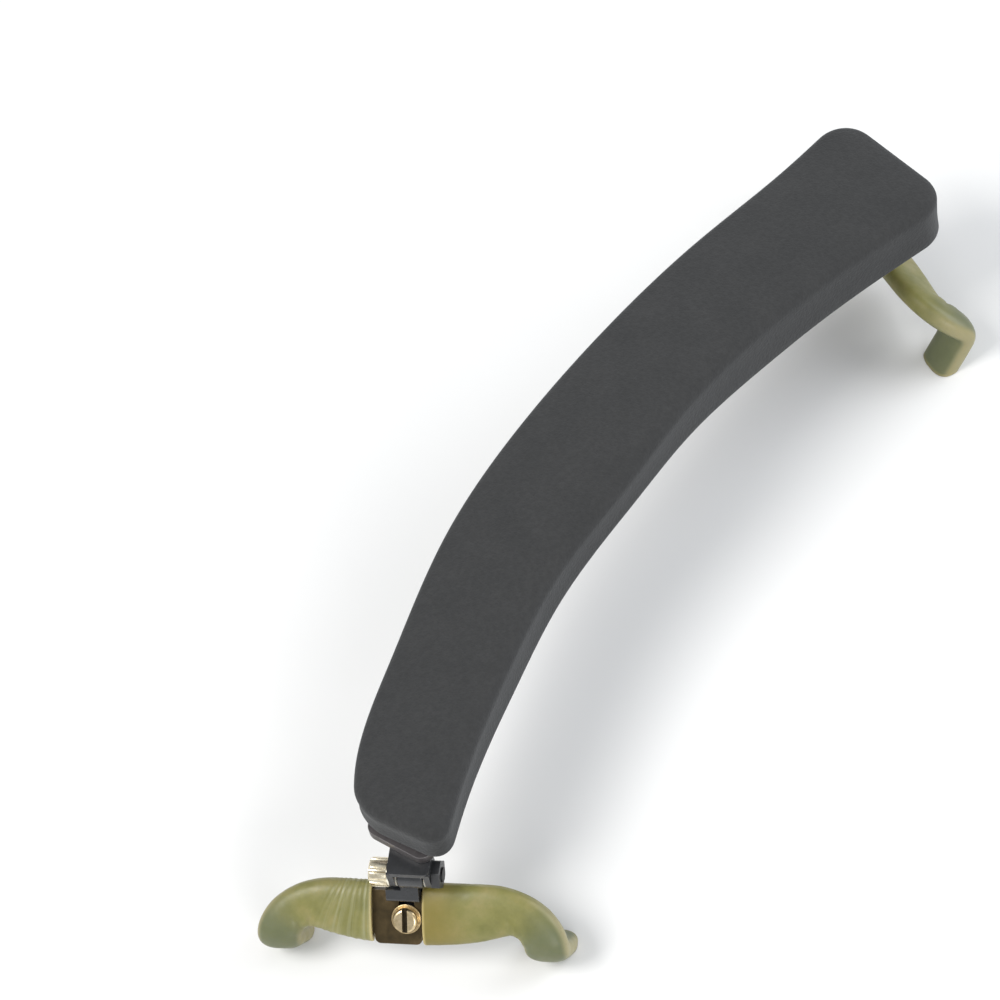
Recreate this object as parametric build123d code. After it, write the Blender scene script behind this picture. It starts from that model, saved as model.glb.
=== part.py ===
from build123d import *
import math
import os

# Folding violin shoulder rest, full size (4/4), millimetres, +Z up.
# +X runs from the chest fork to the shoulder fork, +Y towards the scroll,
# and the rest stands on the cut ends of its four rubber sleeves at Z = 0.

os.makedirs("parts", exist_ok=True)

# ---------------------------------------------------------------- dimensions
ORIGIN_X = 0.534           # moves the model so that the origin is the middle
ORIGIN_Y = 1.478           # of its bounding box, seen from above

FORK_X = 95.93             # fork centre, left and right of the middle
FORK_TOE = {1: 27.0, -1: 26.5}     # forks turned in plan so that they follow the outline
FORK_SHIFT = {1: (-1.3, 4.0), -1: (-0.2, 0.0)}   # along n (outwards) and t (towards the scroll)
FORK_Z = 14.0              # middle of the fork's band above the sleeve ends
FORK_LEAN = 45.0           # band leans outwards

PLATE_T = 2.0              # stamped fork plate
ARM_TOP, ARM_LOW = 4.1, 5.5    # plate's upper and lower edges from the band's middle
ARM_ARCH = 2.6             # how far the lower edge has risen 20 mm from the centre
BELLY_T0, BELLY_T1, BELLY_LOW = -2.4, 7.4, 7.2   # bare middle, wider than the sleeved arms
LEG_OUT, LEG_IN = 30.8, 24.9   # leg's outer and inner edges from the centre
SHOULDER_C = (15.8, 7.6)   # centre of the elliptical shoulders
CLAW_R = 3.0               # the claw's bend, centre line
CLAW_S = 4.8               # where the bend starts, down the band
CLAW_TURN = 80.0           # from 45 degrees outwards to 35 inwards
METAL_END_Z = 1.8          # the plate stops inside the sleeve

SLEEVE_T = 5.6             # sleeve over the plate, outside
SLEEVE_WALL = 1.8
NECK_SLEEVE_END = 7.8      # inner cut ends of the two sleeves
TAIL_SLEEVE_END = -2.8

HINGE_N, HINGE_Z = -3.2, 9.6   # hinge axis from the band's centre
HINGE_BORE = 1.56
HINGE_SHANK = 1.50
BARREL_R = 3.0
BARREL_T0, BARREL_T1 = -4.1, 1.2
EAR_T = 1.2
EAR_R = 2.8
EAR_NECK = (1.7, 2.9)
EAR_TAIL = (-5.8, -4.6)
FRICTION_T = 0.4
HEAD_R, HEAD_L = 3.0, 3.8
WASHER_R = 2.9

BLOCK_T0, BLOCK_T1 = -2.4, 4.4
FORK_SCREW_T, FORK_SCREW_S = 0.7, 1.7
FORK_SCREW_R = 1.45
HEIGHT_TRAVEL = 3.0

TAB_Z0, TAB_Z1 = 26.9, 28.1    # bracket's web under the bar
TAB_IN = -44.0
TAB_OUT = -0.4
SLIDE_TRAVEL = 5.0
WIDTH_SCREW_N = (-26.0, -34.0)
WIDTH_SHANK = 1.95
WIDTH_SLOT = 2.2

BAR_END = 91.4
BAR_Z = 28.2               # underside at both ends
BAR_RISE = 4.0             # gentle hump in the middle
BAR_T = 2.0
BAR_FLAT = 52.0            # the ends are straight from here outwards
BAR_W_CHEST, BAR_W_SHOULDER = 15.0, 17.0
BAR_Y0 = 18.2              # centre line in the middle
BAR_BOW = {-1: (15.3, 3), 1: (13.7, 5)}   # its fall towards each end, and the power it falls with

ADHESIVE_T = 0.5
PAD_T_CHEST, PAD_T_MID, PAD_T_SHOULDER = 8.5, 10.0, 12.5
PAD_NECK_EDGE = [(-91.2, 12.4), (-86.0, 16.3), (-60.0, 25.4), (-30.0, 31.7), (0.0, 32.6),
                 (30.0, 30.5), (60.0, 25.9), (84.0, 20.2), (106.6, 16.4)]
PAD_TAIL_EDGE = [(-89.9, -8.6), (-75.5, -3.6), (-51.0, 2.0), (-28.0, 5.0), (0.0, 3.8),
                 (20.0, 3.4), (42.6, 0.3), (62.0, -4.8), (83.0, -12.2), (96.6, -17.6)]
PAD_R_CHEST, PAD_R_SHOULDER = 5.0, 8.0


# ---------------------------------------------------------------- helpers
def prism(face, depth, direction):
    """Straight extrusion of a face along a vector."""
    return extrude(face, amount=depth, dir=Vector(*direction))


def cyl_t(r, t0, t1, n=HINGE_N, z=HINGE_Z):
    """Cylinder along the local t axis (Y) about (n, z) from the band's centre."""
    c = Cylinder(r, t1 - t0, align=(Align.CENTER, Align.CENTER, Align.MIN))
    return Location((n, t1, FORK_Z + z), (90, 0, 0)) * c


def band_loc():
    """Plane of the band: local x = t (Y), local y = s (down the band), normal = p."""
    k = math.sqrt(0.5)
    return Plane(origin=(0, 0, FORK_Z), x_dir=(0, 1, 0), z_dir=(k, 0, k))


def ts(t, s):
    """In the band plane, y_dir = z_dir x x_dir; this returns the plane's own coordinates."""
    return (t, -s)


def ns(s, p):
    """(s, p) of the band's section to (n, z)."""
    k = math.sqrt(0.5)
    return (k * (s + p), FORK_Z + k * (p - s))


def flat_band(half, s_top, s_low, rounded):
    """Section of the straight, leaning arms, extruded across the fork."""
    with BuildSketch(Plane.XZ) as sk:
        with BuildLine():
            if rounded:
                Line(ns(s_top + half, half), ns(s_low - half, half))
                ThreePointArc(ns(s_low - half, half), ns(s_low, 0), ns(s_low - half, -half))
                Line(ns(s_low - half, -half), ns(s_top + half, -half))
                ThreePointArc(ns(s_top + half, -half), ns(s_top, 0), ns(s_top + half, half))
            else:
                Polyline([ns(s_top, half), ns(s_low, half), ns(s_low, -half), ns(s_top, -half)], close=True)
        make_face()
    return extrude(sk.sketch, amount=40, both=True)


def strip(half, s_top, z_end, rounded=False):
    """Section of the bent claw, extruded across the fork."""
    cx, cz = ns(CLAW_S, -CLAW_R)
    a0, a1 = math.radians(45.0), math.radians(45.0 - CLAW_TURN)
    am = 0.5 * (a0 + a1)
    ro, ri = CLAW_R + half, CLAW_R - half
    d = (math.sin(a1), -math.cos(a1))

    def at(r, a):
        return (cx + r * math.cos(a), cz + r * math.sin(a))

    def down(q):
        k = (z_end - q[1]) / d[1]
        return (q[0] + d[0] * k, z_end)

    o0, o1, om = at(ro, a0), at(ro, a1), at(ro, am)
    i0, i1, im = at(ri, a0), at(ri, a1), at(ri, am)
    with BuildSketch(Plane.XZ) as sk:
        with BuildLine():
            Line(ns(s_top + (half if rounded else 0), half), o0)
            ThreePointArc(o0, om, o1)
            Line(o1, down(o1))
            Line(down(o1), down(i1))
            Line(down(i1), i1)
            ThreePointArc(i1, im, i0)
            if rounded:
                Line(i0, ns(s_top + half, -half))
                ThreePointArc(ns(s_top + half, -half), ns(s_top, 0), ns(s_top + half, half))
            else:
                Line(i0, ns(s_top, -half))
                Line(ns(s_top, -half), ns(s_top, half))
        make_face()
    return extrude(sk.sketch, amount=40, both=True)


def band_point(t, s):
    q = band_loc().from_local_coords(Vector(*ts(t, s), 0))
    return (q.X, q.Y, q.Z)


def outline(grow, legs=False, drop=25.0):
    """Front outline of the fork, cut straight through the band; legs=True leaves the arch out."""
    out, inn = LEG_OUT + grow, LEG_IN - grow
    top = -(ARM_TOP + grow)
    low = ARM_LOW + grow
    arch = low - ARM_ARCH * (inn / 20) ** 2
    ct, cs = SHOULDER_C
    right = [(ct + (out - ct) * math.sin(math.radians(a)), cs + (top - cs) * math.cos(math.radians(a)))
             for a in (0, 22.5, 45, 67.5, 90)]
    left = [(-t, q) for t, q in reversed(right)]
    with BuildSketch(band_loc()) as sk:
        with BuildLine():
            Line(ts(-out, drop), ts(-out, cs))
            Spline([ts(*p) for p in left], tangents=[(0, 1), (1, 0)])
            Line(ts(-ct, top), ts(ct, top))
            Spline([ts(*p) for p in right], tangents=[(1, 0), (0, -1)])
            Line(ts(out, cs), ts(out, drop))
            if legs:
                Line(ts(out, drop), ts(-out, drop))
            else:
                Line(ts(out, drop), ts(inn, drop))
                Line(ts(inn, drop), ts(inn, arch))
                ThreePointArc(ts(inn, arch), ts(0, low), ts(-inn, arch))
                Line(ts(-inn, arch), ts(-inn, drop))
                Line(ts(-inn, drop), ts(-out, drop))
        make_face()
    face = sk.sketch.faces()[0]
    if not legs:
        face = rounded(sk.sketch, [band_point(inn, arch), band_point(-inn, arch)], 2.5)
    return extrude(face, amount=24, dir=band_loc().z_dir, both=True)


def band_cut(t0, t1, s0, s1, p=24.0):
    """Box in the band's own axes."""
    b = Box(abs(t1 - t0), abs(s1 - s0), 2 * p)
    return band_loc() * Location((0.5 * (t0 + t1), -0.5 * (s0 + s1), 0)) * b


def rounded(sketch, points, r):
    """Round the corners of a planar face that lie nearest to the given points."""
    face = sketch.faces()[0]
    v = face.vertices()
    pick = [min(v, key=lambda w: (w.X - p[0]) ** 2 + (w.Y - p[1]) ** 2 + (w.Z - p[2]) ** 2) for p in points]
    return face.fillet_2d(r, pick)


def place(shape, side):
    """Local fork frame to the rest's frame: side +1 = shoulder, -1 = chest."""
    q = Location((FORK_X, 0, 0), (0, 0, -FORK_TOE[side])) * Location((*FORK_SHIFT[side], 0)) * shape
    if side < 0:
        q = mirror(q, about=Plane.YZ)
    return q


def save(name, *shapes):
    moved = [Location((-ORIGIN_X, -ORIGIN_Y, 0)) * s for s in shapes]
    solids = []
    for m in moved:
        solids += list(m.solids())
    out = solids[0] if len(solids) == 1 else Compound(children=solids)
    out.label = name
    export_step(out, "parts/%s.step" % name)
    return out


# ---------------------------------------------------------------- fork unit
# fork plate: two arms bent into claws, bare and wider in the middle, with a slot for height
def fork_body(half, grow, z_end, round_edges):
    """Arms cut to the front outline, and the two bent legs from their inner edge outwards."""
    inn = LEG_IN - grow
    arms = flat_band(half, -(ARM_TOP + grow), ARM_LOW + grow, round_edges) & outline(grow) & band_cut(
        -inn - 0.2, inn + 0.2, -30, 30)
    legs = strip(half, -(ARM_TOP + grow), z_end, round_edges) & outline(grow, legs=True)
    return arms + (legs & band_cut(inn, 45, -30, 30)) + (legs & band_cut(-45, -inn, -30, 30))


plate = fork_body(PLATE_T / 2, 0.0, METAL_END_Z, False)
belly_mid = 0.5 * (BELLY_T0 + BELLY_T1)
belly = Box(BELLY_T1 - BELLY_T0, BELLY_LOW, PLATE_T)
belly = fillet(belly.edges().filter_by(Axis.Z).sort_by(Axis.Y)[:2], 1.2)
plate = plate + band_loc() * Location((belly_mid, -0.5 * BELLY_LOW, 0)) * belly
slot_face = band_loc() * Location((FORK_SCREW_T, 0, 0))
slot_mid = FORK_SCREW_S - HEIGHT_TRAVEL / 2
slot = band_loc() * Location((FORK_SCREW_T, -slot_mid, 0)) * Box(3.3, HEIGHT_TRAVEL, 8)
slot_a = band_loc() * Location((FORK_SCREW_T, -FORK_SCREW_S, 0)) * Cylinder(1.65, 8)
slot_b = band_loc() * Location((FORK_SCREW_T, -(FORK_SCREW_S - HEIGHT_TRAVEL), 0)) * Cylinder(1.65, 8)
fork_plate = plate - slot - slot_a - slot_b

# rubber sleeves over the two arms
sleeve_all = fork_body(SLEEVE_T / 2, SLEEVE_WALL, 0.0, True)
sleeve_body = sleeve_all - plate
sleeve_neck = sleeve_body & band_cut(NECK_SLEEVE_END, 40, -30, 30)
sleeve_tail = sleeve_body & band_cut(-40, TAIL_SLEEVE_END, -30, 30)
sleeve_neck = sleeve_neck.solids().sort_by(SortBy.VOLUME)[-1]
sleeve_tail = sleeve_tail.solids().sort_by(SortBy.VOLUME)[-1]

# hinge leg: barrel, groove for the plate's upper edge, tongue behind the plate
block_pts = [(-11.03, 2.55), (-4.49, -4.0), (4.8, -4.0), (4.8, -1.15), (-4.5, -1.15), (-4.5, 1.15),
             (-2.4, 1.15), (-2.4, 3.2), (-6.5, 4.2), (-9.05, 4.53)]
with BuildSketch(Plane.XZ) as sk:
    with BuildLine():
        Polyline([ns(*p) for p in block_pts], close=True)
    make_face()
block_face = rounded(sk.sketch, [(ns(*q)[0], 0, ns(*q)[1]) for q in [(4.8, -4.0), (-2.4, 3.2)]], 0.8)
block = extrude(block_face, amount=BLOCK_T1 - BLOCK_T0, dir=(0, 1, 0))
block = Location((0, BLOCK_T0 - block.bounding_box().min.Y, 0)) * block
relief = Location((HINGE_N, 0, FORK_Z + HINGE_Z)) * Box(20, 8, 20, align=(Align.CENTER, Align.MIN, Align.MIN))
relief = Location((0, BARREL_T1, -3.3)) * relief
block = block - relief
barrel = cyl_t(BARREL_R, BARREL_T0, BARREL_T1)
barrel = fillet(barrel.edges().filter_by(GeomType.CIRCLE), 0.4)
hinge_leg = (block + barrel) - cyl_t(HINGE_BORE, -9, 9)
tapped = band_loc() * Location((FORK_SCREW_T, -FORK_SCREW_S, -4)) * Cylinder(FORK_SCREW_R, 8)
hinge_leg = hinge_leg - tapped

# fork screw with its washer, on the plate's outer face
washer_f = band_loc() * Location((FORK_SCREW_T, -FORK_SCREW_S, 1.05)) * (
    Cylinder(3.1, 0.5, align=(Align.CENTER, Align.CENTER, Align.MIN))
    - Cylinder(1.6, 2, align=(Align.CENTER, Align.CENTER, Align.CENTER)))
pan = Cylinder(2.6, 1.6, align=(Align.CENTER, Align.CENTER, Align.MIN))
pan = fillet(pan.edges().filter_by(GeomType.CIRCLE).sort_by(Axis.Z)[-1], 0.7)
pan = pan - Location((0, 0, 0.8)) * Box(1.1, 8, 2, align=(Align.CENTER, Align.CENTER, Align.MIN))
shank_f = Cylinder(FORK_SCREW_R, 5.6, align=(Align.CENTER, Align.CENTER, Align.MAX))
fork_screw = band_loc() * Location((FORK_SCREW_T, -FORK_SCREW_S, 1.55)) * (pan + shank_f)

# hinge screw: knurled, slotted thumb head on the neck side
head = Cylinder(HEAD_R, HEAD_L, align=(Align.CENTER, Align.CENTER, Align.MIN))
head = fillet(head.edges().filter_by(GeomType.CIRCLE).sort_by(Axis.Z)[-1], 0.7)
for k in range(8):
    a = math.radians(45 * k + 22.5)
    head = head - Location(((HEAD_R + 0.28) * math.cos(a), (HEAD_R + 0.28) * math.sin(a), 0)) * Cylinder(
        0.62, 12)
head = head - Location((0, 0, HEAD_L - 1.3)) * Box(10, 0.8, 3, align=(Align.CENTER, Align.CENTER, Align.MIN))
head = head + Cylinder(HINGE_SHANK, 11.3, align=(Align.CENTER, Align.CENTER, Align.MAX))
hinge_screw = Location((HINGE_N, EAR_NECK[1] + 0.5, FORK_Z + HINGE_Z), (-90, 0, 0)) * head
hinge_washer = cyl_t(WASHER_R, EAR_NECK[1], EAR_NECK[1] + 0.5) - cyl_t(1.55, 0, 9)
hex_face = RegularPolygon(2.75, 6, major_radius=False)
nut = extrude(hex_face, amount=1.8)
hinge_nut = Location((HINGE_N, EAR_TAIL[0], FORK_Z + HINGE_Z), (90, 0, 0)) * nut - cyl_t(HINGE_SHANK, -9, 0)
fric_a = cyl_t(2.7, EAR_NECK[0] - FRICTION_T, EAR_NECK[0]) - cyl_t(1.6, 0, 9)
fric_b = cyl_t(2.7, EAR_TAIL[1], EAR_TAIL[1] + FRICTION_T) - cyl_t(1.6, -9, 0)

# bracket: web under the bar, two ears down to the hinge screw
tab = Location((0.5 * (TAB_IN + TAB_OUT), 0.5 * (EAR_NECK[1] + EAR_TAIL[0]), 0)) * Box(
    TAB_OUT - TAB_IN, EAR_NECK[1] - EAR_TAIL[0], TAB_Z1 - TAB_Z0, align=(Align.CENTER, Align.CENTER, Align.MIN))
tab = Location((0, 0, TAB_Z0)) * tab
tab = fillet(tab.edges().filter_by(Axis.Z).sort_by(Axis.X)[:2], 3.0)
tab = fillet(tab.edges().filter_by(Axis.Z).sort_by(Axis.X)[-2:], 1.0)
ears = None
for (a, b) in (EAR_NECK, EAR_TAIL):
    e = cyl_t(EAR_R, a, b)
    up = Location((HINGE_N, 0.5 * (a + b), FORK_Z + HINGE_Z)) * Box(
        2 * EAR_R, b - a, TAB_Z1 - FORK_Z - HINGE_Z - 0.4, align=(Align.CENTER, Align.CENTER, Align.MIN))
    e = e + up
    ears = e if ears is None else ears + e
TAB_T = 0.5 * (EAR_NECK[1] + EAR_TAIL[0])
w0, w1 = WIDTH_SCREW_N[1] - SLIDE_TRAVEL, WIDTH_SCREW_N[0] + SLIDE_TRAVEL
slot_w = Location((0.5 * (w0 + w1), TAB_T, TAB_Z0)) * Box(w1 - w0, 2 * WIDTH_SLOT, 6)
for w in (w0, w1):
    slot_w = slot_w + Location((w, TAB_T, TAB_Z0)) * Cylinder(WIDTH_SLOT, 6)
bracket = (tab + ears) - slot_w - cyl_t(1.55, -9, 9)

# width screws (two per end): head and washer under the web, threaded into the bar
ws, ww = [], []
for n in WIDTH_SCREW_N:
    h = Cylinder(3.4, 1.7, align=(Align.CENTER, Align.CENTER, Align.MAX))
    h = fillet(h.edges().filter_by(GeomType.CIRCLE).sort_by(Axis.Z)[0], 0.7)
    h = h - Location((0, 0, -1.7)) * Box(0.9, 9, 1.0, align=(Align.CENTER, Align.CENTER, Align.MIN))
    h = h + Cylinder(WIDTH_SHANK, BAR_Z + BAR_T - (TAB_Z0 - 0.7) - 0.1, align=(Align.CENTER, Align.CENTER, Align.MIN))
    ws.append(Location((n, TAB_T, TAB_Z0 - 0.7)) * h)
    wsh = Cylinder(3.9, 0.6, align=(Align.CENTER, Align.CENTER, Align.MIN)) - Cylinder(
        2.05, 4)
    ww.append(Location((n, TAB_T, TAB_Z0 - 0.7)) * wsh)

# ---------------------------------------------------------------- base bar
def centre_y(x):
    bow, power = BAR_BOW[1 if x > 0 else -1]
    return BAR_Y0 - bow * abs(x / BAR_END) ** power


def bar_half(x):
    u = (x + BAR_END) / (2 * BAR_END)
    w = BAR_W_CHEST + (BAR_W_SHOULDER - BAR_W_CHEST) * min(1.0, u * 1.6)
    slope = 0.335 * x / BAR_END
    return 0.5 * w * math.sqrt(1 + slope * slope)


xs = [-BAR_END + i * 2 * BAR_END / 10 for i in range(11)]
with BuildSketch(Plane.XY) as sk:
    with BuildLine():
        up_pts = [(x, centre_y(x) + bar_half(x)) for x in xs]
        lo_pts = [(x, centre_y(x) - bar_half(x)) for x in xs]
        Spline(up_pts)
        Line(up_pts[-1], lo_pts[-1])
        Spline(list(reversed(lo_pts)))
        Line(lo_pts[0], up_pts[0])
    make_face()
bar_face = rounded(sk.sketch, [(*up_pts[0], 0), (*lo_pts[0], 0), (*up_pts[-1], 0), (*lo_pts[-1], 0)], 2.5)
bar_plan = extrude(bar_face, amount=60, dir=(0, 0, 1))


def profile(z_ends, z_mid, x_end=120.0):
    """Height curve: straight ends, gentle hump in the middle."""
    a, b = z_ends
    return [(-x_end, a), (-BAR_FLAT, a)], (0.0, z_mid), [(BAR_FLAT, b), (x_end, b)]


def band_solid(z0_ends, z0_mid, z1_pts, x_end=120.0):
    """Solid between the lower hump curve and an upper curve, wide in Y."""
    with BuildSketch(Plane.XZ) as sk2:
        with BuildLine():
            Line((-x_end, z0_ends), (-BAR_FLAT, z0_ends))
            Spline([(-BAR_FLAT, z0_ends), (0, z0_mid), (BAR_FLAT, z0_ends)], tangents=[(1, 0), (1, 0)])
            Line((BAR_FLAT, z0_ends), (x_end, z0_ends))
            Line((x_end, z0_ends), z1_pts[-1])
            if len(z1_pts) == 3:
                Line(z1_pts[-1], (BAR_FLAT, z1_pts[-1][1]))
                Spline([(BAR_FLAT, z1_pts[-1][1]), (0, z1_pts[1][1]), (-BAR_FLAT, z1_pts[0][1])],
                       tangents=[(-1, 0), (-1, 0)])
                Line((-BAR_FLAT, z1_pts[0][1]), z1_pts[0])
            else:
                Spline(list(reversed(z1_pts)))
            Line(z1_pts[0], (-x_end, z0_ends))
        make_face()
    return extrude(sk2.sketch, amount=60, both=True)


zb0, zb1 = BAR_Z + BAR_T, BAR_Z + BAR_T + ADHESIVE_T
bar = band_solid(BAR_Z, BAR_Z + BAR_RISE, [(-120, zb0), (0, zb0 + BAR_RISE), (120, zb0)]) & bar_plan
screw_holes = []
for side in (1, -1):
    for n in WIDTH_SCREW_N:
        screw_holes.append(place(Location((n, TAB_T, 20)) * Cylinder(
            WIDTH_SHANK, 20, align=(Align.CENTER, Align.CENTER, Align.MIN)), side))
base_bar = bar
for h in screw_holes:
    base_bar = base_bar - h

# adhesive sheet between bar and pad: the bar's outline, a little smaller
with BuildSketch(Plane.XY) as sk:
    with BuildLine():
        xa = [x * 0.97 for x in xs]
        up_pts = [(x, centre_y(x) + bar_half(x) - 0.8) for x in xa]
        lo_pts = [(x, centre_y(x) - bar_half(x) + 0.8) for x in xa]
        Spline(up_pts)
        Line(up_pts[-1], lo_pts[-1])
        Spline(list(reversed(lo_pts)))
        Line(lo_pts[0], up_pts[0])
    make_face()
adh_plan = extrude(sk.sketch, amount=60)
pad_adhesive = band_solid(zb0, zb0 + BAR_RISE, [(-120, zb1), (0, zb1 + BAR_RISE), (120, zb1)]) & adh_plan

# ---------------------------------------------------------------- foam pad
with BuildSketch(Plane.XY) as sk:
    with BuildLine():
        Spline(PAD_NECK_EDGE)
        Line(PAD_NECK_EDGE[-1], PAD_TAIL_EDGE[-1])
        Spline(list(reversed(PAD_TAIL_EDGE)))
        Line(PAD_TAIL_EDGE[0], PAD_NECK_EDGE[0])
    make_face()
pad_face = rounded(sk.sketch, [(*PAD_NECK_EDGE[0], 0), (*PAD_TAIL_EDGE[0], 0)], PAD_R_CHEST)
pad_face = rounded(pad_face, [(*PAD_NECK_EDGE[-1], 0), (*PAD_TAIL_EDGE[-1], 0)], PAD_R_SHOULDER)
pad_plan = extrude(pad_face, amount=80, dir=(0, 0, 1))
top = [(-120, zb1 + PAD_T_CHEST - 0.6), (-90, zb1 + PAD_T_CHEST), (-45, zb1 + PAD_T_CHEST + 2.6),
       (0, zb1 + BAR_RISE + PAD_T_MID), (45, zb1 + PAD_T_SHOULDER + 1.2), (95, zb1 + PAD_T_SHOULDER),
       (120, zb1 + PAD_T_SHOULDER - 0.8)]
foam_pad = band_solid(zb1, zb1 + BAR_RISE, top) & pad_plan

# ---------------------------------------------------------------- write
nodes = {}
nodes["base_bar"] = save("base_bar", base_bar)
nodes["pad_adhesive"] = save("pad_adhesive", pad_adhesive)
nodes["foam_pad"] = save("foam_pad", foam_pad)
nodes["width_screws"] = save("width_screws", *[place(w, s) for s in (1, -1) for w in ws])
nodes["width_washers"] = save("width_washers", *[place(w, s) for s in (1, -1) for w in ww])
for side, word in ((-1, "chest"), (1, "shoulder")):
    nodes[word + "_bracket"] = save(word + "_bracket", place(bracket, side))
    nodes[word + "_hinge_screw"] = save(word + "_hinge_screw", place(hinge_screw, side))
    nodes[word + "_hinge_washer"] = save(word + "_hinge_washer", place(hinge_washer, side))
    nodes[word + "_hinge_nut"] = save(word + "_hinge_nut", place(hinge_nut, side))
    nodes[word + "_friction_washers"] = save(word + "_friction_washers", place(fric_a, side), place(fric_b, side))
    nodes[word + "_hinge_leg"] = save(word + "_hinge_leg", place(hinge_leg, side))
    nodes[word + "_fork_screw"] = save(word + "_fork_screw", place(fork_screw, side))
    nodes[word + "_fork_washer"] = save(word + "_fork_washer", place(washer_f, side))
    nodes[word + "_fork_plate"] = save(word + "_fork_plate", place(fork_plate, side))
    nodes[word + "_sleeve_neck_side"] = save(word + "_sleeve_neck_side", place(sleeve_neck, side))
    nodes[word + "_sleeve_tail_side"] = save(word + "_sleeve_tail_side", place(sleeve_tail, side))

lo = [min(tuple(n.bounding_box().min)[i] for n in nodes.values()) for i in range(3)]
hi = [max(tuple(n.bounding_box().max)[i] for n in nodes.values()) for i in range(3)]
print("box", [round(v, 3) for v in lo], [round(v, 3) for v in hi])
print("centre", round(0.5 * (lo[0] + hi[0]), 3), round(0.5 * (lo[1] + hi[1]), 3))

for side, word in ((-1, "chest"), (1, "shoulder")):
    k = math.radians(FORK_TOE[side])
    en = (side * math.cos(k), -math.sin(k))
    et = (side * math.sin(k), math.cos(k))
    n, t = HINGE_N + FORK_SHIFT[side][0], FORK_SHIFT[side][1]
    hx = side * FORK_X + n * en[0] + t * et[0] - ORIGIN_X
    hy = n * en[1] + t * et[1] - ORIGIN_Y
    print(word, "hinge at", round(hx, 4), round(hy, 4), FORK_Z + HINGE_Z, "axis", [round(v, 6) for v in et],
          "outward", [round(v, 6) for v in en])
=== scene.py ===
import math

import bmesh
import bpy
import numpy as np
from mathutils import Matrix, Vector, noise


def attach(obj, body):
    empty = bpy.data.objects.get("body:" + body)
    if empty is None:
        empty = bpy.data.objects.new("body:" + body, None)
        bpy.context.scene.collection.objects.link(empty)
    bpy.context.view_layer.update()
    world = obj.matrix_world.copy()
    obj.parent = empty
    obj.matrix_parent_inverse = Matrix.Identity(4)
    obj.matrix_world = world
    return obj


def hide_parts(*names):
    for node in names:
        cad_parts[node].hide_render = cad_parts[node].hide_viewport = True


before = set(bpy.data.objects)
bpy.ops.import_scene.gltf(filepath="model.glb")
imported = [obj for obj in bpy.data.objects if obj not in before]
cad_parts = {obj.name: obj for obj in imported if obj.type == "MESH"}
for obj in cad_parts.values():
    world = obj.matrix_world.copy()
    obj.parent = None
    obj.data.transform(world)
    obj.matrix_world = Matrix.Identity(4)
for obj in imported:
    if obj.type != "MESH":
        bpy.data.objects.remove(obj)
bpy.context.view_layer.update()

MM = 0.001

# ------------------------------------------------------------------ layout, mm
OX, OY = -0.534, -1.478                      # middle of the box, seen from above
FORK_X, FORK_Z = 95.93, 14.0
TOE = {1: math.radians(27.0), -1: math.radians(26.5)}
SHIFT = {1: (-1.3, 4.0), -1: (-0.2, 0.0)}
K = math.sqrt(0.5)
PAD_NECK = [(-91.2, 12.4), (-86.0, 16.3), (-60.0, 25.4), (-30.0, 31.7), (0.0, 32.6),
            (30.0, 30.5), (60.0, 25.9), (84.0, 20.2), (106.6, 16.4)]
PAD_TAIL = [(-89.9, -8.6), (-75.5, -3.6), (-51.0, 2.0), (-28.0, 5.0), (0.0, 3.8),
            (20.0, 3.4), (42.6, 0.3), (62.0, -4.8), (83.0, -12.2), (96.6, -17.6)]
PAD_TOP = [(-120, 38.6), (-90, 39.2), (-45, 41.8), (0, 44.7), (45, 44.4), (95, 43.2), (120, 42.4)]
ZB = 30.7                                    # pad's underside at both ends


def fork_point(side, n, t, z):
    """Fork's own n (outwards), t (towards the neck), z to the rest's frame, metres."""
    c, s = math.cos(TOE[side]), math.sin(TOE[side])
    n, t = n + SHIFT[side][0], t + SHIFT[side][1]
    return Vector(((side * FORK_X + n * side * c + t * side * s + OX) * MM,
                   (-n * s + t * c + OY) * MM, z * MM))


# ------------------------------------------------------------------ small maths
def spline(points, count):
    """Natural cubic spline through points by chord length, count samples evenly spaced."""
    p = np.array(points, float)
    n = len(p)
    u = np.concatenate([[0], np.cumsum(np.linalg.norm(np.diff(p, axis=0), axis=1))])
    h = np.diff(u)
    a = np.zeros((n, n))
    r = np.zeros((n, p.shape[1]))
    a[0, 0] = a[-1, -1] = 1.0
    for i in range(1, n - 1):
        a[i, i - 1], a[i, i], a[i, i + 1] = h[i - 1], 2 * (h[i - 1] + h[i]), h[i]
        r[i] = 3 * ((p[i + 1] - p[i]) / h[i] - (p[i] - p[i - 1]) / h[i - 1])
    c = np.linalg.solve(a, r)
    us = np.linspace(0, u[-1], 4000)
    out = np.zeros((len(us), p.shape[1]))
    for j, x in enumerate(us):
        i = min(max(int(np.searchsorted(u, x)) - 1, 0), n - 2)
        d = x - u[i]
        b = (p[i + 1] - p[i]) / h[i] - h[i] * (2 * c[i] + c[i + 1]) / 3
        q = (c[i + 1] - c[i]) / (3 * h[i])
        out[j] = p[i] + b * d + c[i] * d * d + q * d ** 3
    return even(out, count)


def even(line, count):
    """Resample a polyline to count points at even arc length."""
    line = np.asarray(line, float)
    s = np.concatenate([[0], np.cumsum(np.linalg.norm(np.diff(line, axis=0), axis=1))])
    t = np.linspace(0, s[-1], count)
    return np.stack([np.interp(t, s, line[:, k]) for k in range(line.shape[1])], 1)


def trim(line, a, b):
    """Cut a length a off the start and b off the end of a polyline."""
    s = np.concatenate([[0], np.cumsum(np.linalg.norm(np.diff(line, axis=0), axis=1))])
    t = np.linspace(a, s[-1] - b, 600)
    return np.stack([np.interp(t, s, line[:, k]) for k in range(line.shape[1])], 1)


def smooth(a, b, x):
    u = min(max((x - a) / (b - a), 0.0), 1.0)
    return u * u * (3 - 2 * u)


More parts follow.
